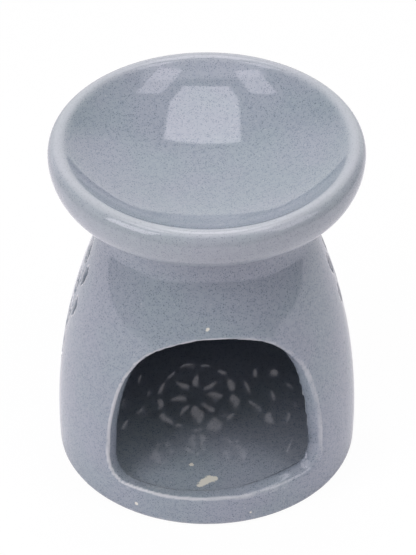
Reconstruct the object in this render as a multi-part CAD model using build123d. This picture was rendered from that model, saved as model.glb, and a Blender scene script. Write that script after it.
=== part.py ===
from build123d import *
import os
from math import asin, cos, degrees, hypot, radians, sin, sqrt

# Ceramic oil burner. Sizes are in millimetres and degrees.
# The origin is the centre of the foot, +Z is up and the arched mouth faces -Y.

# Body: a bell-shaped wall with its floor and neck, cast in one piece
belly_diameter = 96.4
belly_height = 12.0  # height of the widest ring
shoulder_height = 90.8  # where the side's curve would meet the neck
wall = 5.0
neck_diameter = 62.6
neck_height = 7.2  # from the shoulder to the rim that carries the dish
neck_cove = 16.0  # hollow curve between the side and the neck
collar_edge = 0.8
foot_edge = 2.0  # rounding of the base
foot_ring = 6.0  # width of the bare ring that the body stands on
foot_recess = 1.5
floor_thickness = 6.5
floor_corner = 3.0

# Arched mouth, cut square to the wall
arch_width = 67.0
arch_step = 4.0  # from the floor up to the sill
arch_jamb = 19.0  # from the sill to where the crown springs
arch_head = 22.0  # wall left between the crown and the shoulder
arch_corner = 9.0
arch_edge = 1.8

# Dish: a shallow saucer with a rolled lip and a spigot that drops into the neck
dish_diameter = 100.0
lip_width = 3.4  # from the widest ring in to the crest
lip_drop = 4.4  # from the crest down to the widest ring
lip_roll = 3.0  # inner rounding of the lip
skirt_inset = 2.8  # from the widest ring in to the lower edge of the outside
skirt_drop = 13.2  # from the crest down to that edge
skirt_edge = 1.2
hollow_depth = 13.0
dish_floor = 5.0
seat_hollow = 2.7  # from the seat up to the floor's underside, inside the spigot
spigot_depth = 5.0
spigot_wall = 4.0
spigot_clearance = 0.5

# Pierced ornament on the back and the sides. Turns are angles from the back.
medallion_height = 38.0
medallion_radius = 12.7
side_medallion_turn = 71.0
dash_count = 13
dash_length = 2.5  # between the middles of its round ends
dash_width = 1.9
petal_count = 8
petal_ring = 6.2  # radius of the petals' middles
petal_length = 6.6
petal_width = 2.6
wreath_turn = 34.0
wreath_height = 33.0
wreath_radius = 9.3
wreath_count = 8
wreath_leaf_length = 5.4
wreath_leaf_width = 2.8
wreath_leaf_slant = 35.0
wreath_eye = 3.2
blossom_turn = 17.0
blossom_rise = 6.3  # from the top of the medallion's ring to the blossom's middle
blossom_count = 5
blossom_ring = 2.6  # radius of the blossom petals' middles
blossom_length = 3.4
blossom_width = 1.8
sprig_turn = 51.0
side_sprig_turn = 92.5
sprig_rise = 7.7  # from the top of the wreath's ring to the middle of the lowest leaf
sprig_leaves = 5
sprig_step = 6.0  # from one leaf to the next, on alternate sides
sprig_spread = 2.6
sprig_leaf_length = 8.6
sprig_leaf_width = 3.4
sprig_leaf_slant = 12.0

belly_radius = belly_diameter / 2
neck_radius = neck_diameter / 2
bore_radius = neck_radius - wall
floor_height = foot_recess + floor_thickness
collar_height = shoulder_height + neck_height
arch_sill = floor_height + arch_step
arch_spring = arch_sill + arch_jamb
arch_crown = shoulder_height - arch_head
blossom_height = medallion_height + medallion_radius + blossom_rise
sprig_height = wreath_height + wreath_radius + sprig_rise
dish_height = collar_height + seat_hollow + dish_floor + hollow_depth

# The side is an arc, seen in section: upright at the belly, and through the shoulder
shoulder_fall = belly_radius - neck_radius
shoulder_rise = shoulder_height - belly_height
belly_curve = (shoulder_fall**2 + shoulder_rise**2) / (2 * shoulder_fall)


def side_radius(height, inset=0.0):
    """Radius of the side at a height, or of a wall set in from it."""
    curve = belly_curve - inset
    rise = height - belly_height
    return belly_radius - inset - curve + sqrt(curve**2 - rise**2)


def side_height(radius, inset):
    """Height at which a wall set in from the side reaches a radius."""
    curve = belly_curve - inset
    fall = belly_radius - inset - radius
    return belly_height + sqrt(curve**2 - (curve - fall) ** 2)


def side_arc(low, high, inset=0.0):
    """Stretch of the side's curve between two heights."""
    ends = [(side_radius(z, inset), z) for z in (low, (low + high) / 2, high)]
    return ThreePointArc(*ends)


def rounded(face, corner, radius):
    """A face with the vertex nearest to a corner rounded."""
    nearest = face.vertices().sort_by_distance((*corner, 0))[0]
    return fillet(nearest, radius)


def body_blank():
    """Body before its openings: half section turned about the axis."""
    bore_foot = side_height(bore_radius, wall)
    ring_inner = side_radius(0) - foot_edge - foot_ring
    outside = side_arc(0, shoulder_height)
    inside = side_arc(floor_height, bore_foot, wall)
    section = make_face(
        [
            Polyline((0, floor_height), (0, foot_recess), (ring_inner, foot_recess), (ring_inner, 0)),
            Line((ring_inner, 0), outside @ 0),
            outside,
            Polyline(outside @ 1, (neck_radius, collar_height), (bore_radius, collar_height), inside @ 1),
            inside,
            Line(inside @ 0, (0, floor_height)),
        ]
    )
    section = rounded(section, (side_radius(0), 0), foot_edge)
    section = rounded(section, (neck_radius, shoulder_height), neck_cove)
    section = rounded(section, (bore_radius, bore_foot), neck_cove)
    section = rounded(section, (side_radius(floor_height, wall), floor_height), floor_corner)
    section = rounded(section, (neck_radius, collar_height), collar_edge)
    section = rounded(section, (bore_radius, collar_height), collar_edge)
    return revolve(Plane.XZ * section, Axis.Z)


def arch_outline(distance):
    """Arch on an upright plane in front of the axis, wider further out: its sides point at the axis."""
    half_angle = asin(arch_width / belly_diameter)
    spread = distance / (belly_radius * cos(half_angle))
    half = arch_width / 2 * spread
    corner = arch_corner * spread
    corner_height = arch_sill + arch_corner
    turn = half - corner
    right_corner = EllipticalCenterArc((turn, corner_height), corner, arch_corner, 270, arc_size=90)
    left_corner = EllipticalCenterArc((-turn, corner_height), corner, arch_corner, 180, arc_size=90)
    crown = EllipticalCenterArc((0, arch_spring), half, arch_crown - arch_spring, 0, arc_size=180)
    outline = make_face(
        [
            Line(left_corner @ 1, right_corner @ 0),
            right_corner,
            Line(right_corner @ 1, crown @ 0),
            crown,
            Line(crown @ 1, left_corner @ 0),
            left_corner,
        ]
    )
    return Plane((0, -distance, 0), x_dir=(1, 0, 0), z_dir=(0, -1, 0)) * outline


def cut_arch(body):
    """Cut the mouth and soften its edges on both faces of the wall."""
    near = bore_radius / 2
    far = belly_radius + wall
    mouth = loft([arch_outline(near), arch_outline(far)], ruled=True)
    opened = body - mouth

    def on_a_wall_face(edge):
        gaps = []
        for step in (0.1, 0.5, 0.9):
            point = edge @ step
            if point.Y > -near or point.Z < arch_sill - 1 or point.Z > arch_crown + 1:
                return False
            gaps.append(side_radius(point.Z) - hypot(point.X, point.Y))
        return max(gaps) < wall / 4 or min(gaps) > wall * 3 / 4

    rim = opened.edges().filter_by(on_a_wall_face)
    return fillet(rim, arch_edge)


def leaf(length, width):
    """Pointed leaf between two arcs, upright on its middle."""
    tip = length / 2
    side = width / 2
    right = ThreePointArc((0, -tip), (side, 0), (0, tip))
    left = ThreePointArc((0, tip), (-side, 0), (0, -tip))
    return make_face([right, left])


def ring_of(shape, count, radius, slant=0.0):
    """Copies of a shape set round a circle, each turned with it."""
    return [Rot(Z=360 / count * i) * Pos(Y=radius) * Rot(Z=slant) * shape for i in range(count)]


def medallion():
    """Dashed ring round a flower."""
    sweep = degrees(dash_length / medallion_radius)
    dash = SlotArc(CenterArc((0, 0), medallion_radius, 90 - sweep / 2, sweep), dash_width)
    ring = [Rot(Z=360 / dash_count * i) * dash for i in range(dash_count)]
    return ring + ring_of(leaf(petal_length, petal_width), petal_count, petal_ring)


def blossom():
    """Small flower of petals alone."""
    return ring_of(leaf(blossom_length, blossom_width), blossom_count, blossom_ring)


def wreath(hand):
    """Ring of leaves round an eye, slanted to the side that hand gives."""
    shape = leaf(wreath_leaf_length, wreath_leaf_width)
    leaves = ring_of(shape, wreath_count, wreath_radius, hand * (wreath_leaf_slant + 90))
    return leaves + [Circle(wreath_eye / 2)]


def sprig(hand):
    """Upright sprig with leaves on alternate sides, the lowest on the side that hand gives."""
    shape = leaf(sprig_leaf_length, sprig_leaf_width)
    leaves = []
    for i in range(sprig_leaves):
        side = hand * (-1) ** i
        leaves.append(Pos(side * sprig_spread, i * sprig_step) * Rot(Z=-side * sprig_leaf_slant) * shape)
    return leaves


def pierce(shapes, turn, height):
    """Cutter that runs outwards through the wall, turned from the back (+Y) round the axis."""
    outward = (sin(radians(turn)), cos(radians(turn)), 0)
    start = bore_radius / 2
    origin = (outward[0] * start, outward[1] * start, height)
    face = Plane(origin, x_dir=(-outward[1], outward[0], 0), z_dir=outward)
    return [extrude(face * shape, belly_radius) for shape in shapes]


def ornament():
    """Cutters of the medallion at the back and of each motif on both sides of it."""
    cutters = pierce(medallion(), 0, medallion_height) + pierce(blossom(), 0, blossom_height)
    for hand in (-1, 1):
        cutters += pierce(wreath(hand), hand * wreath_turn, wreath_height)
        cutters += pierce(medallion(), hand * side_medallion_turn, medallion_height)
        cutters += pierce(blossom(), hand * blossom_turn, blossom_height)
        for turn in (sprig_turn, side_sprig_turn):
            cutters += pierce(sprig(hand), hand * turn, sprig_height)
    return cutters


def burner_body():
    """Body with its mouth and its pierced wall."""
    return cut_arch(body_blank()) - ornament()


def oil_dish():
    """Dish: half section turned about the axis, with a hollow cut from a sphere that meets the lip."""
    dish_radius = dish_diameter / 2
    crest_radius = dish_radius - lip_width
    widest = (dish_radius, dish_height - lip_drop)
    skirt = (dish_radius - skirt_inset, dish_height - skirt_drop)
    bottom = dish_height - hollow_depth
    sphere = (crest_radius**2 + (hollow_depth - lip_roll) ** 2 - lip_roll**2) / (2 * hollow_depth)
    roll_centre = Vector(crest_radius, dish_height - lip_roll)
    sphere_centre = Vector(0, bottom + sphere)
    meeting = sphere_centre + (roll_centre - sphere_centre) * (sphere / (sphere + lip_roll))
    spigot_outer = bore_radius - spigot_clearance
    spigot_inner = spigot_outer - spigot_wall
    spigot_foot = collar_height - spigot_depth
    underside = bottom - dish_floor

    lip = EllipticalCenterArc((crest_radius, widest[1]), lip_width, lip_drop, 0, arc_size=90)
    roll_start = Vector(crest_radius, dish_height)
    roll = TangentArc([roll_start, meeting], tangent=(-1, 0))
    hollow = TangentArc([(0, bottom), meeting], tangent=(1, 0))
    side = TangentArc([widest, skirt], tangent=(0, -1))
    section = make_face(
        [
            Polyline(
                (0, bottom),
                (0, underside),
                (spigot_inner, underside),
                (spigot_inner, spigot_foot),
                (spigot_outer, spigot_foot),
                (spigot_outer, collar_height),
                (neck_radius, collar_height),
                skirt,
            ),
            side,
            lip,
            roll,
            hollow,
        ]
    )
    section = rounded(section, skirt, skirt_edge)
    section = rounded(section, (spigot_outer, spigot_foot), collar_edge)
    section = rounded(section, (spigot_inner, spigot_foot), collar_edge)
    return revolve(Plane.XZ * section, Axis.Z)


os.makedirs("parts", exist_ok=True)
export_step(burner_body(), "parts/burner_body.step")
export_step(oil_dish(), "parts/oil_dish.step")
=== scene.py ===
import math

import bpy
import numpy as np
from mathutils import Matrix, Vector


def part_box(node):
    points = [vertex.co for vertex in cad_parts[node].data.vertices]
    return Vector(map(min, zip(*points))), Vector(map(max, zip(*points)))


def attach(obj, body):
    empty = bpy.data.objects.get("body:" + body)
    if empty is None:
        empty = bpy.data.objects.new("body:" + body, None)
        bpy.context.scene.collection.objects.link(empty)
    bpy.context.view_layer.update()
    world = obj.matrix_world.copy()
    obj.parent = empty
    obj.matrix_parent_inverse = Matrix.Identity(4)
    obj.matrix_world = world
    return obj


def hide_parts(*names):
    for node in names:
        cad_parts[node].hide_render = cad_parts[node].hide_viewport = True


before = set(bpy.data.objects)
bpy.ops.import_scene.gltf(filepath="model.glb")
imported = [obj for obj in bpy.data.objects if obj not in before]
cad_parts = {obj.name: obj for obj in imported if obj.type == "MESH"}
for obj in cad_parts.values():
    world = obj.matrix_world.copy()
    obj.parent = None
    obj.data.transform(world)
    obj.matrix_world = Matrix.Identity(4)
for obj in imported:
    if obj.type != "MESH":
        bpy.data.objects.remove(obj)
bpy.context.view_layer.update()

scene = bpy.context.scene
scene.view_settings.view_transform = "Standard"
mm = 0.001
print("frame loaded:", sorted(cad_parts))


# Camera: long lens from above, a little to the left of the mouth
cameraView = dict(
    azimuth=-4.5,
    elevation=38.29,
    aimHeight=64.05,  # mm above the ground, on the axis
    aimRight=0.40,  # mm to the right of the axis
    distance=1533.5,  # mm from the aim point
    focalPixels=4787.0,
    imageHeight=555.0,
    sensorHeight=24.0,
)


def placeCamera(view):
    turn = math.radians(view["azimuth"])
    lift = math.radians(view["elevation"])
    data = bpy.data.cameras.new("photoCamera")
    data.sensor_fit = "VERTICAL"
    data.sensor_height = view["sensorHeight"]
    data.lens = view["focalPixels"] / view["imageHeight"] * view["sensorHeight"]
    data.dof.use_dof = False
    camera = bpy.data.objects.new("photoCamera", data)
    scene.collection.objects.link(camera)
    right = Vector((math.cos(turn), math.sin(turn), 0.0))
    flat = math.cos(lift)
    back = Vector((math.sin(turn) * flat, -math.cos(turn) * flat, math.sin(lift)))
    aim = Vector((0.0, 0.0, view["aimHeight"])) + right * view["aimRight"]
    camera.location = (aim + back * view["distance"]) * mm
    camera.rotation_euler = (math.pi / 2 - lift, 0.0, turn)
    scene.camera = camera
    print("camera placed, lens", round(data.lens, 1), "mm")


placeCamera(cameraView)


# Fields: arrays of signed distance in mm, below zero inside the clay
farOff = 9.0  # mm, the distance given to points far from every cut-out


def coveJoin(r, z, curve, neck, radius, w):
    # bell and neck joined by a hollow arc that touches both: its centre stands off each by the
    # radius, and between its two touching points the distance is taken from that centre
    centre = bellyRadius - w["bellyCurve"]
    side = np.hypot(r - centre, z - w["bellyHeight"]) - curve
    rc = neck + radius
    zc = w["bellyHeight"] + math.sqrt((curve + radius) ** 2 - (rc - centre) ** 2)
    lean = math.atan2(zc - w["bellyHeight"], rc - centre)
    angle = np.arctan2(zc - z, rc - r)
    hollow = radius - np.hypot(r - rc, z - zc)
    return np.where((angle > 0.0) & (angle < lean), hollow, np.minimum(side, r - neck))


def roundCut(a, b, radius):
    # what two solids share, with the shared edge rounded to the radius
    outer = np.hypot(np.maximum(radius + a, 0.0), np.maximum(radius + b, 0.0))
    return np.minimum(-radius, np.maximum(a, b)) + outer


bodyLow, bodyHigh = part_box("burner_body")
bellyRadius = (bodyHigh.x - bodyLow.x) / 2 / mm
collarHeight = bodyHigh.z / mm

wallShape = dict(
    bellyHeight=12.0,
    bellyCurve=192.16,
    wall=5.0,
    neckRadius=32.8,
    boreRadius=26.3,
    neckCove=16.0,
    collarEdge=0.9,
    footEdge=2.0,
    footRing=6.0,
    footRecess=1.5,
    recessEdge=0.5,
    floorHeight=8.0,
    floorCorner=3.5,
    floorWave=0.022,  # uneven pool of glaze on the floor
    floorWaves=((0.46, 0.15, 0.8), (-0.20, 0.38, 2.0), (0.70, -0.50, 0.0)),  # slant in x, in y, start
    thirdWave=0.6,
    ripple=0.07,  # turning lines round the neck
    ripplePitch=2.4,
    rippleFoot=86.0,  # height at which they begin
    rippleRun=6.0,
)

archShape = dict(
    width=68.8,
    sill=12.0,
    spring=28.5,
    crown=69.5,
    corner=9.0,
    outerEdge=0.9,
    rightEdge=0.8,  # added on the right, where the edge was wiped rounder
    rightRun=25.0,
    innerEdge=0.5,
    wave=0.13,  # unsteady knife
    waves=((7, 0.6, 1.0), (13, 2.0, 0.7)),  # waves in a full turn, start and share
    rightFlare=2.1,  # the right side narrows towards the inside
    leftFlare=-1.2,
    flareTop=60.0,  # height at which the flare ends
    flareRun=20.0,
    back=-8.0,  # the arch lies in front of this y
    farOff=40.0,
)

ornament = dict(
    medallionHeight=38.0,
    medallionRadius=12.7,
    sideMedallionTurn=71.0,
    dashCount=13,
    dashLength=2.5,
    dashWidth=1.9,
    petalCount=8,
    petalRing=6.2,
    petalLength=6.6,
    petalWidth=2.6,
    wreathTurn=34.0,
    wreathHeight=33.0,
    wreathRadius=9.3,
    leafCount=8,
    leafLength=5.4,
    leafWidth=2.8,
    leafSlant=125.0,
    eye=3.2,
    blossomTurn=17.0,
    blossomHeight=57.0,
    blossomCount=5,
    blossomRing=2.9,
    blossomLength=3.4,
    blossomWidth=1.8,
    sprigTurns=(51.0, 89.5),
    sprigHeight=50.0,
    sprigLeaves=5,
    sprigStep=6.0,
    sprigSpread=2.6,
    sprigLength=8.6,
    sprigWidth=3.4,
    sprigSlant=12.0,
    tilt=0.28,  # the knife was held low
    outerEdge=0.6,  # rounding on the outer face
    innerEdge=2.6,  # the inner edges are wiped rounder
    reach=3.5,  # mm from the wall within which cut-outs are worked out
    front=-20.0,  # they lie behind this y
    nearest=18.0,  # mm from the axis
    halfWidth=16.0,  # largest motif, to the side and down
    height=32.0,  # tallest motif, up
)


def wallField(x, y, z, w=wallShape):
    # bell, neck and floor: distances to two nested arcs turned about the axis, cut flat at the foot
    # and the collar; the floor rises and falls by two slanted waves multiplied and a third one
    r = np.hypot(x, y)
    outer = coveJoin(r, z, w["bellyCurve"], w["neckRadius"], w["neckCove"], w)
    window = np.clip((z - w["rippleFoot"]) / w["rippleRun"], 0.0, 1.0)
    outer = outer + w["ripple"] * window * np.sin(2 * np.pi * z / w["ripplePitch"])
    outer = roundCut(outer, -z, w["footEdge"])
    outer = roundCut(outer, z - collarHeight, w["collarEdge"])
    inner = coveJoin(r, z, w["bellyCurve"] - w["wall"], w["boreRadius"], w["neckCove"], w)
    first, second, third = [np.sin(a * x + b * y + start) for a, b, start in w["floorWaves"]]
    pool = first * second + w["thirdWave"] * third
    cavity = roundCut(inner, w["floorHeight"] + w["floorWave"] * pool - z, w["floorCorner"])
    shell = roundCut(outer, -cavity, w["collarEdge"])
    ring = bellyRadius - w["footEdge"] - w["footRing"]
    recess = np.maximum(r - ring, z - w["footRecess"])
    return roundCut(shell, -recess, w["recessEdge"])


def wallDepth(x, y, z, w=wallShape):
    # how far into the wall a point lies: 0 on the outer face, 1 on the inner one
    arc = np.hypot(np.hypot(x, y) - (bellyRadius - w["bellyCurve"]), z - w["bellyHeight"])
    return np.clip((w["bellyCurve"] - arc) / w["wall"], 0.0, 1.0)


def archField(x, y, z, a=archShape):
    # arch seen from the axis: points are carried out along rays to one upright plane, where the
    # outline is a rounded box below the spring line and half an ellipse above it; the knife adds
    # waves round the outline and a flare that grows through the wall
    half = a["width"] / 2
    depth = bellyRadius * math.sqrt(1 - (half / bellyRadius) ** 2)
    front = np.maximum(-y, 1.0)
    u = x * depth / front
    angle = np.arctan2(z - a["spring"], u)
    knife = a["wave"] * sum(share * np.sin(n * angle + start) for n, start, share in a["waves"])
    right = a["rightFlare"] * np.clip(u / a["flareRun"], 0.0, 1.0)
    left = a["leftFlare"] * np.clip(-u / a["flareRun"], 0.0, 1.0)
    fade = np.clip((a["flareTop"] - z) / a["flareRun"], 0.0, 1.0)
    knife = knife + (right + left) * wallDepth(x, y, z) * fade
    rise = a["crown"] - a["spring"]
    upper = z - a["spring"]
    k0 = np.hypot(u / half, upper / rise)
    k1 = np.hypot(u / half**2, upper / rise**2)
    crown = k0 * (k0 - 1.0) / np.maximum(k1, 1e-6)
    across = np.abs(u) - half + a["corner"]
    below = a["sill"] - z + a["corner"]
    box = np.hypot(np.maximum(across, 0.0), np.maximum(below, 0.0))
    box = box + np.minimum(np.maximum(across, below), 0.0) - a["corner"]
    outline = np.where(upper > 0.0, crown, box) + knife
    return np.where(y < a["back"], outline, a["farOff"])


def leafField(u, v, length, width):
    # leaf: what two equal discs share
    disc = (length**2 + width**2) / (4 * width)
    shift = disc - width / 2
    return np.maximum(np.hypot(u + shift, v), np.hypot(u - shift, v)) - disc


def turned(u, v, degrees):
    # plane turned about its origin
    c, s = math.cos(math.radians(degrees)), math.sin(math.radians(degrees))
    return u * c + v * s, v * c - u * s


def petalRing(u, v, count, ring, length, width):
    # petals that point outwards round a circle: one leaf repeated by turning the plane
    best = np.full_like(u, farOff)
    for i in range(count):
        a, b = turned(u, v, 360 / count * i)
        best = np.minimum(best, leafField(a, b - ring, length, width))
    return best


def medallionField(u, v, hand, o=ornament):
    # dashed ring round a flower: the gap to an arc, repeated by turning the plane
    best = petalRing(u, v, o["petalCount"], o["petalRing"], o["petalLength"], o["petalWidth"])
    ring = o["medallionRadius"]
    half = o["dashLength"] / ring / 2
    for i in range(o["dashCount"]):
        a, b = turned(u, v, 360 / o["dashCount"] * i)
        swing = np.clip(np.arctan2(a, b), -half, half)
        gap = np.hypot(a - ring * np.sin(swing), b - ring * np.cos(swing))
        best = np.minimum(best, gap - o["dashWidth"] / 2)
    return best


def blossomField(u, v, hand, o=ornament):
    # small flower of petals alone
    return petalRing(
        u, v, o["blossomCount"], o["blossomRing"], o["blossomLength"], o["blossomWidth"]
    )


def wreathField(u, v, hand, o=ornament):
    # ring of slanted leaves round an eye
    best = np.hypot(u, v) - o["eye"] / 2
    for i in range(o["leafCount"]):
        a, b = turned(u, v, 360 / o["leafCount"] * i)
        a, b = turned(a, b - o["wreathRadius"], hand * o["leafSlant"])
        best = np.minimum(best, leafField(a, b, o["leafLength"], o["leafWidth"]))
    return best


def sprigField(u, v, hand, o=ornament):
    # leaves on alternate sides of an upright stem
    best = np.full_like(u, farOff)
    for i in range(o["sprigLeaves"]):
        side = hand * (-1) ** i
        a, b = turned(u - side * o["sprigSpread"], v - i * o["sprigStep"], -side * o["sprigSlant"])
        best = np.minimum(best, leafField(a, b, o["sprigLength"], o["sprigWidth"]))
    return best


def motifs(o=ornament):
    # every motif as its field, hand, turn from the back and height
    rows = [
        (medallionField, 1, 0.0, o["medallionHeight"]),
        (blossomField, 1, 0.0, o["blossomHeight"]),
    ]
    for hand in (-1, 1):
        rows.append((wreathField, hand, hand * o["wreathTurn"], o["wreathHeight"]))
        rows.append((medallionField, hand, hand * o["sideMedallionTurn"], o["medallionHeight"]))
        rows.append((blossomField, hand, hand * o["blossomTurn"], o["blossomHeight"]))
        rows += [(sprigField, hand, hand * turn, o["sprigHeight"]) for turn in o["sprigTurns"]]
    return rows


def pierceField(x, y, z, w=wallShape, o=ornament):
    # nearest cut-out: each motif is drawn on an upright plane and runs straight through the wall,
    # rising outwards by the wall's lean and the knife's tilt
    best = np.full_like(x, farOff)
    for field, hand, turn, height in motifs():
        s, c = math.sin(math.radians(turn)), math.cos(math.radians(turn))
        out = x * s + y * c
        u = y * s - x * c
        lean = (z - w["bellyHeight"]) / w["bellyCurve"]
        skin = bellyRadius - w["wall"] / 2 - lean * (z - w["bellyHeight"]) / 2
        v = z - height - (lean + o["tilt"]) * (out - skin)
        near = (np.abs(u) < o["halfWidth"]) & (v > -o["halfWidth"]) & (v < o["height"])
        near = np.flatnonzero(near & (out > o["nearest"]))
        best[near] = np.minimum(best[near], field(u[near], v[near], hand))
    return best


def bodyField(x, y, z, a=archShape, o=ornament):
    # wall, less the arch, less the cut-outs, with edges whose rounding changes through the wall
    depth = wallDepth(x, y, z)
    edge = a["outerEdge"] + a["rightEdge"] * np.clip(x / a["rightRun"], 0.0, 1.0)
    edge = edge * (1.0 - depth) + a["innerEdge"] * depth
    field = roundCut(wallField(x, y, z), -archField(x, y, z), edge)
    near = np.flatnonzero((field < o["reach"]) & (y > o["front"]))
    edge = o["outerEdge"] * (1.0 - depth[near]) + o["innerEdge"] * depth[near]
    field[near] = roundCut(field[near], -pierceField(x[near], y[near], z[near]), edge)
    return field


def plainFaces(values, rounds=20, push=0.2):
    # a cell face whose corners lie in and out by turns would let two sheets share an edge,
    # so its corner nearest to the surface changes sides until no such face is left
    for _ in range(rounds):
        found = 0
        for axis in range(3):
            inside = values < 0.0
            across, along = [k for k in range(3) if k != axis]
            corners = []
            for i, j in ((0, 0), (1, 0), (1, 1), (0, 1)):
                pick = [slice(None)] * 3
                pick[across] = slice(i, values.shape[across] - 1 + i)
                pick[along] = slice(j, values.shape[along] - 1 + j)
                corners.append(inside[tuple(pick)])
            turns = (corners[0] == corners[2]) & (corners[1] == corners[3])
            turns = turns & (corners[0] != corners[1])
            spots = np.repeat(np.argwhere(turns)[:, None], 4, axis=1)
            spots[:, (1, 2), across] += 1
            spots[:, (2, 3), along] += 1
            sizes = np.abs(values[tuple(np.moveaxis(spots, 2, 0))])
            faint = spots[np.arange(len(spots)), sizes.argmin(axis=1)]
            faint = tuple(np.unique(faint, axis=0).T)
            values[faint] -= np.sign(values[faint]) * (2.0 * np.abs(values[faint]) + push)
            found += len(spots)
        if not found:
            break
    return values


def fieldMesh(field, low, high, step, moves=3):
    # surface of a field: a grid of cells, one vertex in each cell that the surface crosses, set to
    # the mean of its crossings and then moved along the slope onto the surface
    counts = [int(math.ceil((b - a) / step)) + 1 for a, b in zip(low, high)]
    axes = [a + step * np.arange(n) for a, n in zip(low, counts)]
    px, py, pz = np.meshgrid(*axes, indexing="ij")
    values = plainFaces(field(px.ravel(), py.ravel(), pz.ravel()).reshape(counts))
    del px, py, pz
    inside = values < 0.0
    cells = [n - 1 for n in counts]
    total = np.zeros(cells)
    place = np.zeros((3, *cells))
    index = np.indices(counts, dtype=np.float32)
    faces = []
    crossings = []
    for axis in range(3):
        first = [slice(None)] * 3
        second = [slice(None)] * 3
        first[axis] = slice(None, -1)
        second[axis] = slice(1, None)
        a, b = values[tuple(first)], values[tuple(second)]
        crossed = inside[tuple(first)] != inside[tuple(second)]
        share = np.where(crossed, a / np.where(crossed, a - b, 1.0), 0.0)
        spots = [index[k][tuple(first)] + (share if k == axis else 0.0) for k in range(3)]
        others = [k for k in range(3) if k != axis]
        for i in (0, 1):
            for j in (0, 1):
                pick = [slice(None)] * 3
                pick[others[0]] = slice(i, i + cells[others[0]])
                pick[others[1]] = slice(j, j + cells[others[1]])
                hit = crossed[tuple(pick)]
                total += hit
                for k in range(3):
                    place[k] += np.where(hit, spots[k][tuple(pick)], 0.0)
        crossings.append((axis, others, crossed, inside[tuple(first)]))
    live = total > 0
    number = np.full(cells, -1)
    number[live] = np.arange(int(live.sum()))
    points = np.stack([place[k][live] / total[live] for k in range(3)], axis=1)
    points = points * step + np.array(low)
    for axis, others, crossed, filled in crossings:
        core = [slice(None)] * 3
        for k in others:
            core[k] = slice(1, -1)
        where = np.argwhere(crossed[tuple(core)])
        flip = filled[tuple(core)][tuple(where.T)]
        if axis == 1:
            flip = ~flip
        where[:, others] += 1
        ring = []
        for i, j in ((-1, -1), (0, -1), (0, 0), (-1, 0)):
            spot = where.copy()
            spot[:, others[0]] += i
            spot[:, others[1]] += j
            ring.append(number[tuple(spot.T)])
        quad = np.stack(ring, axis=1)
        quad[~flip] = quad[~flip][:, ::-1]
        faces.append(quad)
    faces = np.concatenate(faces)
    for _ in range(moves):
        points = points - slopeStep(field, points)
    return points, faces


def slopeStep(field, points, reach=0.05, flattest=0.2, longest=0.5):
    # one Newton step onto the surface: the distance over the slope, up to a longest step in mm
    x, y, z = points.T
    value = field(x, y, z)
    slope = np.stack(
        [
            field(x + reach, y, z) - field(x - reach, y, z),
            field(x, y + reach, z) - field(x, y - reach, z),
            field(x, y, z + reach) - field(x, y, z - reach),
        ],
        axis=1,
    ) / (2 * reach)
    move = slope * (value / np.maximum((slope**2).sum(axis=1), flattest))[:, None]
    length = np.linalg.norm(move, axis=1, keepdims=True)
    return move * np.minimum(1.0, longest / np.maximum(length, 1e-9))


def edgeSharpness(field, points, reach=0.7):
    # bend of the surface in 1/mm, as the field's mean change about a point: above zero on outer
    # edges, below zero in hollows
    x, y, z = points.T
    total = -6.0 * field(x, y, z)
    for shift in np.eye(3) * reach:
        total += field(x + shift[0], y + shift[1], z + shift[2])
        total += field(x - shift[0], y - shift[1], z - shift[2])
    return total / reach**2


def makePiece(name, points, faces, material, attributes):
    mesh = bpy.data.meshes.new(name)
    mesh.from_pydata(points * mm, [], faces)
    mesh.update()
    mesh.polygons.foreach_set("use_smooth", np.ones(len(faces), dtype=bool))
    for label, values in attributes.items():
        layer = mesh.attributes.new(label, "FLOAT", "POINT")
        layer.data.foreach_set("value", values.astype(np.float32))
    mesh.materials.append(material)
    piece = bpy.data.objects.new(name, mesh)
    scene.collection.objects.link(piece)
    print(name, "has", len(points), "points and", len(faces), "faces")
    return piece


# Glaze
glazeLook = dict(
    colour=(0.298, 0.340, 0.388),
    lavender=(0.312, 0.336, 0.398),
    speck=(0.12, 0.15, 0.20),
    blot=(0.20, 0.235, 0.30),
    pool=(0.10, 0.12, 0.16),  # painted shade on the chamber's inner wall, darker than the glaze
    pale=(0.56, 0.565, 0.60),
    bare=(0.74, 0.71, 0.64),
    sheen=(0.98, 0.91, 1.0),
    roughness=0.06,
    refraction=1.5,
    tintScale=38.0,  # scales are cells in a metre
    tintRange=(0.35, 0.65),
    cloudScale=700.0,
    cloudRange=(0.40, 0.75, 0.0, 0.35),
    specks=((2300.0, 0.66, 0.52, 0.85), (1300.0, 0.45, 0.42, 0.75)),  # scale, share, size and depth
    lights=(700.0, 0.12, 0.30, 0.25),
    edgeScale=170.0,
    detail=3.0,
)


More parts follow.
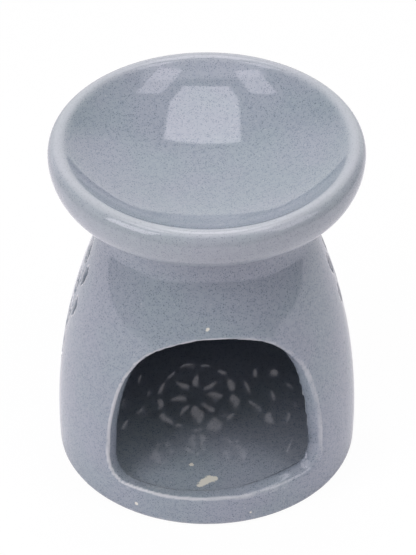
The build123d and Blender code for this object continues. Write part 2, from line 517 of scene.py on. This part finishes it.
class NodeBench:
    # short hands for wiring one material
    def __init__(self, name):
        self.material = bpy.data.materials.new(name)
        self.material.use_nodes = True
        self.tree = self.material.node_tree
        self.shader = self.tree.nodes["Principled BSDF"]
        self.place = self.add("ShaderNodeTexCoord").outputs["Object"]

    def add(self, kind, **settings):
        node = self.tree.nodes.new(kind)
        for key, value in settings.items():
            setattr(node, key, value)
        return node

    def feed(self, socket, value):
        if hasattr(value, "is_linked"):
            self.tree.links.new(value, socket)
        elif isinstance(value, tuple) and len(value) == 3 and socket.type == "RGBA":
            socket.default_value = (*value, 1.0)
        else:
            socket.default_value = value

    def ramp(self, value, low, high, start=0.0, end=1.0):
        node = self.add("ShaderNodeMapRange", interpolation_type="SMOOTHSTEP")
        keys = ("Value", "From Min", "From Max", "To Min", "To Max")
        for key, item in zip(keys, (value, low, high, start, end)):
            self.feed(node.inputs[key], item)
        return node.outputs["Result"]

    def math(self, operation, first, second=0.0):
        node = self.add("ShaderNodeMath", operation=operation)
        self.feed(node.inputs[0], first)
        self.feed(node.inputs[1], second)
        return node.outputs[0]

    def blend(self, factor, first, second):
        node = self.add("ShaderNodeMix", data_type="RGBA")
        for key, item in zip(("Factor", "A", "B"), (factor, first, second)):
            self.feed(node.inputs[key], item)
        return node.outputs["Result"]

    def noise(self, scale, detail):
        node = self.add("ShaderNodeTexNoise")
        self.feed(node.inputs["Vector"], self.place)
        self.feed(node.inputs["Scale"], scale)
        self.feed(node.inputs["Detail"], detail)
        return node.outputs["Fac"]

    def dots(self, scale, share, size):
        # round specks: one per cell, in a share of the cells, of random size
        node = self.add("ShaderNodeTexVoronoi", feature="F1")
        self.feed(node.inputs["Vector"], self.place)
        self.feed(node.inputs["Scale"], scale)
        split = self.add("ShaderNodeSeparateColor")
        self.feed(split.inputs["Color"], node.outputs["Color"])
        chosen = self.math("LESS_THAN", split.outputs["Red"], share)
        reach = self.math("MULTIPLY_ADD", split.outputs["Green"], size * 0.6)
        reach.node.inputs[2].default_value = size * 0.4
        near = self.math("DIVIDE", node.outputs["Distance"], reach)
        return self.math("MULTIPLY", self.ramp(near, 0.6, 1.0, 1.0, 0.0), chosen)

    def spot(self, place, size):
        # ragged round mark about a point
        node = self.add("ShaderNodeVectorMath", operation="DISTANCE")
        self.feed(node.inputs[0], self.place)
        node.inputs[1].default_value = place
        ragged = self.math("MULTIPLY_ADD", self.noise(1100.0, 1.0), size)
        self.feed(ragged.node.inputs[2], node.outputs["Value"])
        return self.ramp(ragged, size * 1.15, size * 1.5, 1.0, 0.0)

    def attribute(self, label):
        return self.add("ShaderNodeAttribute", attribute_name=label).outputs["Fac"]


def glazeMaterial(name, marks, thin, look=glazeLook):
    # thin gives the bend at which the glaze begins to thin, the bend at which it is thinnest, how
    # pale it gets there and how uneven that is
    bench = NodeBench(name)
    bench.shader.inputs["Roughness"].default_value = look["roughness"]
    bench.shader.inputs["IOR"].default_value = look["refraction"]
    bench.feed(bench.shader.inputs["Specular Tint"], look["sheen"])
    detail = look["detail"]
    tint = bench.ramp(bench.noise(look["tintScale"], detail), *look["tintRange"])
    colour = bench.blend(tint, look["colour"], look["lavender"])
    cloud = bench.ramp(bench.noise(look["cloudScale"], detail), *look["cloudRange"])
    colour = bench.blend(cloud, colour, look["blot"])
    for scale, share, size, depth in look["specks"]:
        specks = bench.math("MULTIPLY", bench.dots(scale, share, size), depth)
        colour = bench.blend(specks, colour, look["speck"])
    # painted shade: the chamber's inner wall is darkened towards the pool colour
    colour = bench.blend(bench.attribute("chamber_shade"), colour, look["pool"])
    *dots, depth = look["lights"]
    lights = bench.math("MULTIPLY", bench.dots(*dots), depth)
    colour = bench.blend(lights, colour, look["pale"])
    low, high, depth, rough = thin
    uneven = bench.math("MULTIPLY_ADD", bench.noise(look["edgeScale"], detail), rough)
    bench.feed(uneven.node.inputs[2], bench.attribute("edge"))
    worn = bench.ramp(uneven, low + rough / 2, high + rough / 2, 0.0, depth)
    colour = bench.blend(worn, colour, look["pale"])
    for mark in marks:
        spot = bench.spot(tuple(mm * value for value in mark[:3]), mm * mark[3])
        colour = bench.blend(spot, colour, look["bare"])
    colour = bench.blend(bench.attribute("bare"), colour, look["bare"])
    bench.feed(bench.shader.inputs["Base Color"], colour)
    return bench.material


bodyMarks = (  # bare spots in the glaze: place and radius in mm
    (-2.7, -38.0, 73.4, 0.75),
    (-25.8, -40.6, 5.1, 0.7),
    (10.4, -46.9, 4.4, 0.4),
    (-7.0, -26.1, 8.0, 0.9),
    (-5.2, -36.6, 8.2, 1.1),
    (-4.2, -35.6, 8.0, 1.6),
    (-3.0, -34.5, 8.0, 2.0),
    (-1.6, -33.7, 8.0, 2.0),
    (-0.2, -33.6, 8.0, 1.4),
)


bodyLook = dict(
    step=0.92,  # mm, size of the mesh's cells
    margin=1.6,
    thin=(0.3, 1.2, 0.88, 1.0),
    insideEdge=0.8,  # share of the thinning that is lost on the inner face
    bareTop=0.7,  # height of the unglazed foot
    bareRun=0.4,
    shadeFoot=9.5,  # height from which the inner wall gets painted shade
    shadeRun=4.0,
    shadeDepth=0.8,
)


def bodyPiece(b=bodyLook):
    margin = b["margin"]
    low = (-bellyRadius - margin, -bellyRadius - margin, -margin)
    high = (bellyRadius + margin, bellyRadius + margin, collarHeight + margin)
    points, faces = fieldMesh(bodyField, low, high, b["step"])
    depth = wallDepth(*points.T)
    height = points[:, 2]
    edge = edgeSharpness(bodyField, points) * (1.0 - b["insideEdge"] * depth)
    bare = np.clip((b["bareTop"] - height) / b["bareRun"], 0.0, 1.0)
    # painted shade inside the chamber: the inner face above the floor, stronger with height
    chamber_shade = depth * np.clip((height - b["shadeFoot"]) / b["shadeRun"], 0.0, 1.0)
    marks = dict(edge=edge, bare=bare, chamber_shade=b["shadeDepth"] * chamber_shade**3)
    glaze = glazeMaterial("bodyGlaze", bodyMarks, b["thin"])
    piece = makePiece("pierced_body", points, faces.tolist(), glaze, marks)
    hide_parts("burner_body")
    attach(piece, "body")


bodyPiece()


# Dish
dishLow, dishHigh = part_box("oil_dish")

dishShape = dict(
    radius=(dishHigh.x - dishLow.x) / 2 / mm,
    top=dishHigh.z / mm,
    lipWidth=3.4,
    lipDrop=4.4,
    lipRoll=3.6,
    skirtInset=2.8,
    skirtDrop=13.2,
    skirtEdge=1.2,
    hollowDepth=13.0,
    hollowCurve=100.0,
    hollowTurn=33.0,  # radius at which the hollow bends up to the lip
    floorThickness=5.0,
    seatRadius=31.3,
    spigotOuter=25.8,
    spigotInner=21.8,
    spigotFoot=dishLow.z / mm,
    spigotDepth=5.0,
    spigotEdge=0.8,
    seatEdge=0.3,
    ceilingEdge=0.5,
    thin=(0.0, 1.0, 0.52, 0.14),
    thinShift=0.6,  # mm that the thinnest glaze lies outside the crest
    thinInside=2.9,  # mm from there over which the glaze thickens
    thinOutside=1.7,
    thinSide=0.5,  # share of that thinning left on the outside
    around=360,
)


def arcPoints(centre, radii, start, end, count):
    # stretch of an ellipse between two angles in degrees
    t = np.radians(np.linspace(start, end, count))
    return np.stack([centre[0] + radii[0] * np.cos(t), centre[1] + radii[1] * np.sin(t)], axis=1)


def softCorner(before, corner, after, radius, count=7):
    # arc that rounds a corner between two straight runs, as a run of points
    a = np.subtract(before, corner)
    b = np.subtract(after, corner)
    a = a / np.linalg.norm(a)
    b = b / np.linalg.norm(b)
    half = math.acos(float(np.clip(a @ b, -1.0, 1.0))) / 2
    middle = (a + b) / np.linalg.norm(a + b)
    centre = np.asarray(corner) + middle * radius / math.sin(half)
    first = np.asarray(corner) + a * radius / math.tan(half) - centre
    last = np.asarray(corner) + b * radius / math.tan(half) - centre
    swing = math.atan2(first[0] * last[1] - first[1] * last[0], first @ last)
    t = np.linspace(0.0, swing, count)[:, None]
    return centre + first * np.cos(t) + np.array([-first[1], first[0]]) * np.sin(t)


def dishProfile(d=dishShape):
    # half section from the middle of the hollow over the lip, down the side and under to the axis;
    # the hollow is a flat arc and a tighter one that touches it and the lip's roll
    crest = d["radius"] - d["lipWidth"]
    bottom = d["top"] - d["hollowDepth"]
    roll = np.array([crest, d["top"] - d["lipRoll"]])
    base = np.array([0.0, bottom + d["hollowCurve"]])
    slope = math.asin(d["hollowTurn"] / d["hollowCurve"])
    inward = np.array([math.sin(slope), -math.cos(slope)])
    turn = base + d["hollowCurve"] * inward
    away = turn - roll
    bend = (away @ away - d["lipRoll"] ** 2) / (2 * (away @ inward + d["lipRoll"]))
    centre = turn - bend * inward
    lean = math.degrees(math.atan2(centre[1] - roll[1], roll[0] - centre[0]))
    slope = math.degrees(slope)
    middle = arcPoints(base, (d["hollowCurve"],) * 2, -90.0, slope - 90.0, 50)
    rise = arcPoints(centre, (bend, bend), slope - 90.0, -lean, 24)
    roll = arcPoints(roll, (d["lipRoll"],) * 2, 180.0 - lean, 90.0, 9)
    lip = arcPoints((crest, d["top"] - d["lipDrop"]), (d["lipWidth"], d["lipDrop"]), 90.0, 0.0, 16)
    drop = d["skirtDrop"] - d["lipDrop"]
    curve = (d["skirtInset"] ** 2 + drop**2) / (2 * d["skirtInset"])
    end = -math.degrees(math.asin(drop / curve))
    side = arcPoints((d["radius"] - curve, d["top"] - d["lipDrop"]), (curve, curve), 0.0, end, 40)
    skirt = side[-1]
    collar = d["spigotFoot"] + d["spigotDepth"]
    seat = (d["seatRadius"], collar)
    rounding = softCorner(side[-6], skirt, seat, d["skirtEdge"], 9)
    side = side[np.hypot(*(side - skirt).T) > np.hypot(*(rounding[0] - skirt))]
    outer = (d["spigotOuter"], d["spigotFoot"])
    inner = (d["spigotInner"], d["spigotFoot"])
    under = bottom - d["floorThickness"]
    root = (d["spigotOuter"], collar)
    ceiling = (d["spigotInner"], under)
    lower = [
        softCorner(rounding[-1], seat, root, d["seatEdge"], 4),
        softCorner(seat, root, outer, d["seatEdge"], 4),
        softCorner(root, outer, inner, d["spigotEdge"]),
        softCorner(outer, inner, ceiling, d["spigotEdge"]),
        softCorner(inner, ceiling, (0.0, under), d["ceilingEdge"], 4),
        np.array([[0.0, under]]),
    ]
    runs = [middle, rise[1:], roll[1:], lip[1:], side[1:], rounding, *lower]
    return np.concatenate(runs)


def turnedMesh(profile, around):
    # surface of revolution: each profile point carried round the axis, with a point at either pole
    t = np.arange(around) / around * 2 * np.pi
    r = profile[1:-1, 0][:, None]
    z = np.broadcast_to(profile[1:-1, 1][:, None], (len(r), around))
    ring = np.stack([r * np.cos(t), r * np.sin(t), z], axis=2).reshape(-1, 3)
    points = np.concatenate([ring, [[0.0, 0.0, profile[0, 1]], [0.0, 0.0, profile[-1, 1]]]])
    k = np.arange(len(r) - 1)[:, None] * around
    i = np.arange(around)[None, :]
    j = (i + 1) % around
    quads = np.stack([k + i, k + around + i, k + around + j, k + j], axis=2).reshape(-1, 4)
    i, j = i.ravel(), j.ravel()
    last = (len(r) - 1) * around
    first = np.stack([np.full(around, len(ring)), i, j], axis=1)
    end = np.stack([last + i, np.full(around, len(ring) + 1), last + j], axis=1)
    return points, quads.tolist() + first.tolist() + end.tolist()


dishMarks = ((26.4, 17.1, 111.6, 0.35),)


def dishPiece(d=dishShape):
    profile = dishProfile(d)
    points, faces = turnedMesh(profile, d["around"])
    length = np.concatenate([[0.0], np.cumsum(np.hypot(*np.diff(profile, axis=0).T))])
    crest = length[profile[:, 1].argmax()]
    away = length - crest - d["thinShift"]  # mm from the lip's thinnest glaze, along the section
    thin = np.exp(-((away / np.where(away < 0.0, d["thinInside"], d["thinOutside"])) ** 2))
    side = (away > 0.0) & (profile[:, 1] > d["top"] - d["skirtDrop"])
    thin = np.where(side, np.maximum(thin, d["thinSide"]), thin)
    edge = np.repeat(thin[1:-1], d["around"])
    edge = np.append(edge, [0.0, 0.0])
    marks = dict(edge=edge, bare=np.zeros(len(points)), chamber_shade=np.zeros(len(points)))
    glaze = glazeMaterial("dishGlaze", dishMarks, d["thin"])
    piece = makePiece("shallow_dish", points, faces, glaze, marks)
    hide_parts("oil_dish")
    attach(piece, "dish")


dishPiece()


# Studio: white paper below, soft boxes above, a room that is white at the back and dim in front
studio = dict(
    boxes=(  # centre and size in m, brightness with white at 1, and whether the glaze mirrors it
        ("overBox", (0.03, 0.28, 0.85), (0.25, 0.48), 3.4, True),
        ("leftBox", (-0.27, 0.0, 0.85), (0.33, 0.17), 2.7, True),
        ("rightBox", (0.26, -0.06, 0.85), (0.36, 0.17), 2.6, True),
        ("frontBox", (0.0, -0.28, 0.85), (0.90, 0.45), 1.3, True),
        ("westBox", (-0.65, -0.38, 0.62), (0.50, 0.50), 4.2, True),
        ("eastBox", (0.65, -0.38, 0.62), (0.50, 0.50), 2.2, True),
        ("westFill", (-0.42, -0.36, 0.13), (0.45, 0.24), 1.15, False),
        ("eastFill", (0.42, -0.36, 0.13), (0.45, 0.24), 0.5, False),
    ),
    aim=(0.0, 0.0, 0.08),
    back=1.15,
    lowLeft=0.28,
    lowRight=0.15,
    highLeft=0.08,
    highRight=0.2,
    top=0.25,
    sideRun=(-0.6, 0.6),  # stretches of a view direction over which the room changes
    highRun=(0.3, 0.6),
    backRun=(0.45, 0.75),
    topRun=(0.80, 0.88),
    paper=((-0.37, -0.27), (0.43, 1.6)),  # m, low and high corner
    paperWhite=(0.88, 0.85, 0.89),
    paperRoughness=0.9,
    paperLight=0.12,
    paperGlow=0.95,  # share of plain white in what the camera sees of the paper
)


def softBox(name, centre, size, light, mirrored, aim):
    data = bpy.data.lights.new(name, "AREA")
    data.shape = "RECTANGLE"
    data.size, data.size_y = size
    data.energy = light * math.pi * size[0] * size[1]
    box = bpy.data.objects.new(name, data)
    box.location = centre
    box.rotation_euler = (Vector(aim) - Vector(centre)).to_track_quat("-Z", "Y").to_euler()
    box.visible_camera = False
    box.visible_glossy = mirrored
    scene.collection.objects.link(box)


def whiteRoom(look=studio):
    world = bpy.data.worlds.new("whiteRoom")
    scene.world = world
    world.use_nodes = True
    tree = world.node_tree
    link = tree.links.new
    glow = tree.nodes["Background"]
    glow.inputs["Color"].default_value = (1.0, 1.0, 1.0, 1.0)
    split = tree.nodes.new("ShaderNodeSeparateXYZ")
    link(tree.nodes.new("ShaderNodeTexCoord").outputs["Generated"], split.inputs["Vector"])

    def slope(axis, start, end, low, high):
        node = tree.nodes.new("ShaderNodeMapRange")
        node.interpolation_type = "SMOOTHSTEP"
        keys = ("From Min", "From Max", "To Min", "To Max")
        for key, value in zip(keys, (start, end, low, high)):
            node.inputs[key].default_value = value
        link(split.outputs[axis], node.inputs["Value"])
        return node.outputs["Result"]

    def mix(factor, first, second):
        node = tree.nodes.new("ShaderNodeMix")
        link(factor, node.inputs["Factor"])
        link(first, node.inputs["A"])
        if hasattr(second, "is_linked"):
            link(second, node.inputs["B"])
        else:
            node.inputs["B"].default_value = second
        return node.outputs["Result"]

    low = slope("X", *look["sideRun"], look["lowLeft"], look["lowRight"])
    high = slope("X", *look["sideRun"], look["highLeft"], look["highRight"])
    front = mix(slope("Z", *look["highRun"], 0.0, 1.0), low, high)
    walls = mix(slope("Y", *look["backRun"], 0.0, 1.0), front, look["back"])
    room = mix(slope("Z", *look["topRun"], 0.0, 1.0), walls, look["top"])
    seen = mix(tree.nodes.new("ShaderNodeLightPath").outputs["Is Camera Ray"], room, 1.0)
    link(seen, glow.inputs["Strength"])


def paperFloor(look=studio):
    (x0, y0), (x1, y1) = look["paper"]
    mesh = bpy.data.meshes.new("paperFloor")
    mesh.from_pydata([(x0, y0, 0), (x1, y0, 0), (x1, y1, 0), (x0, y1, 0)], [], [(0, 1, 2, 3)])
    material = bpy.data.materials.new("paper")
    material.use_nodes = True
    tree = material.node_tree
    link = tree.links.new
    paper = tree.nodes["Principled BSDF"]
    paper.inputs["Base Color"].default_value = (*look["paperWhite"], 1.0)
    paper.inputs["Roughness"].default_value = look["paperRoughness"]
    paper.inputs["Specular IOR Level"].default_value = 0.0
    paper.inputs["Emission Color"].default_value = (1.0, 1.0, 1.0, 1.0)
    paper.inputs["Emission Strength"].default_value = look["paperLight"]
    glow = tree.nodes.new("ShaderNodeEmission")
    share = tree.nodes.new("ShaderNodeMath")
    share.operation = "MULTIPLY"
    share.inputs[1].default_value = look["paperGlow"]
    link(tree.nodes.new("ShaderNodeLightPath").outputs["Is Camera Ray"], share.inputs[0])
    mix = tree.nodes.new("ShaderNodeMixShader")
    link(share.outputs[0], mix.inputs["Fac"])
    link(paper.outputs[0], mix.inputs[1])
    link(glow.outputs[0], mix.inputs[2])
    link(mix.outputs[0], tree.nodes["Material Output"].inputs["Surface"])
    mesh.materials.append(material)
    floor = bpy.data.objects.new("paperFloor", mesh)
    scene.collection.objects.link(floor)


for row in studio["boxes"]:
    softBox(*row, studio["aim"])
whiteRoom()
paperFloor()
print("studio lit")
